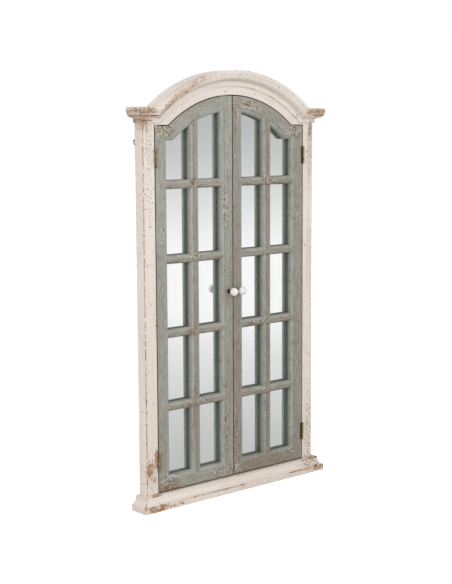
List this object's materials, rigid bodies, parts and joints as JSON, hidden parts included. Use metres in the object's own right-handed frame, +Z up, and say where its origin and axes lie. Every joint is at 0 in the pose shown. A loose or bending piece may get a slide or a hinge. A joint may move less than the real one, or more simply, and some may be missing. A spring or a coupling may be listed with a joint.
{
  "type": "shutter mirror",
  "caption": "Arched wall mirror in a moulded wooden frame, behind a pair of hinged shutter doors with open lights and ball knobs; rings on the back hang it.",
  "frame": {"origin": "middle of the lower edge of the frame's back, on the wall plane", "axes": "+X to the right seen from the room, +Y into the wall, +Z up"},
  "size_m": [0.689, 0.074, 1.2],
  "materials": {
    "whitewashed_wood": "worn whitewash over brown wood",
    "green_painted_wood": "worn grey-green paint over brown wood",
    "mirror_glass": "silvered glass",
    "backing_board": "raw hardboard",
    "brass": "dull brass",
    "zinc_steel": "zinc plated",
    "black_iron": "black",
    "ceramic": "white glaze",
    "rubber": "soft"
  },
  "bodies": {
    "frame": {"left_jamb": "whitewashed_wood", "right_jamb": "whitewashed_wood", "head_board": "whitewashed_wood", "base_rail": "whitewashed_wood", "crown_arch": "whitewashed_wood", "crown_left": "whitewashed_wood", "crown_right": "whitewashed_wood", "crown_left_return": "whitewashed_wood", "crown_right_return": "whitewashed_wood", "base_front": "whitewashed_wood", "base_left_return": "whitewashed_wood", "base_right_return": "whitewashed_wood", "mirror_plate": "mirror_glass", "back_panel": "backing_board", "panel_screws": "zinc_steel", "left_frame_hinge_leaves": "brass", "right_frame_hinge_leaves": "brass", "left_hinge_pins": "brass", "right_hinge_pins": "brass", "frame_hinge_screws": "brass", "catch_magnets": "zinc_steel", "hanger_straps": "zinc_steel", "hanger_screws": "zinc_steel"},
    "left_door": {"left_hinge_stile": "green_painted_wood", "left_meeting_stile": "green_painted_wood", "left_top_rail": "green_painted_wood", "left_bottom_rail": "green_painted_wood", "left_muntin": "green_painted_wood", "left_bar_1": "green_painted_wood", "left_bar_2": "green_painted_wood", "left_bar_3": "green_painted_wood", "left_bar_4": "green_painted_wood", "left_door_hinge_leaves": "brass", "left_door_hinge_screws": "brass", "left_knob": "ceramic", "left_knob_base": "black_iron", "left_knob_screw": "zinc_steel", "left_strike": "zinc_steel", "left_bumpers": "rubber"},
    "right_door": {"right_hinge_stile": "green_painted_wood", "right_meeting_stile": "green_painted_wood", "right_top_rail": "green_painted_wood", "right_bottom_rail": "green_painted_wood", "right_muntin": "green_painted_wood", "right_bar_1": "green_painted_wood", "right_bar_2": "green_painted_wood", "right_bar_3": "green_painted_wood", "right_bar_4": "green_painted_wood", "right_door_hinge_leaves": "brass", "right_door_hinge_screws": "brass", "right_knob": "ceramic", "right_knob_base": "black_iron", "right_knob_screw": "zinc_steel", "right_strike": "zinc_steel", "right_bumpers": "rubber"},
    "left_ring": {"left_hanging_ring": "zinc_steel"},
    "right_ring": {"right_hanging_ring": "zinc_steel"}
  },
  "joints": [
    {"name": "left_door_hinge", "type": "hinge", "parent": "frame", "child": "left_door", "pos_m": [-0.277, -0.0383, 0.545], "axis": [0, 0, -1], "range_deg": [0, 145]},
    {"name": "right_door_hinge", "type": "hinge", "parent": "frame", "child": "right_door", "pos_m": [0.277, -0.0383, 0.545], "axis": [0, 0, 1], "range_deg": [0, 145]},
    {"name": "left_ring_swing", "type": "hinge", "parent": "frame", "child": "left_ring", "pos_m": [-0.31, 0.0026, 1.01], "axis": [1, 0, 0], "range_deg": [0, 180]},
    {"name": "right_ring_swing", "type": "hinge", "parent": "frame", "child": "right_ring", "pos_m": [0.31, 0.0026, 1.01], "axis": [1, 0, 0], "range_deg": [0, 180]}
  ]
}
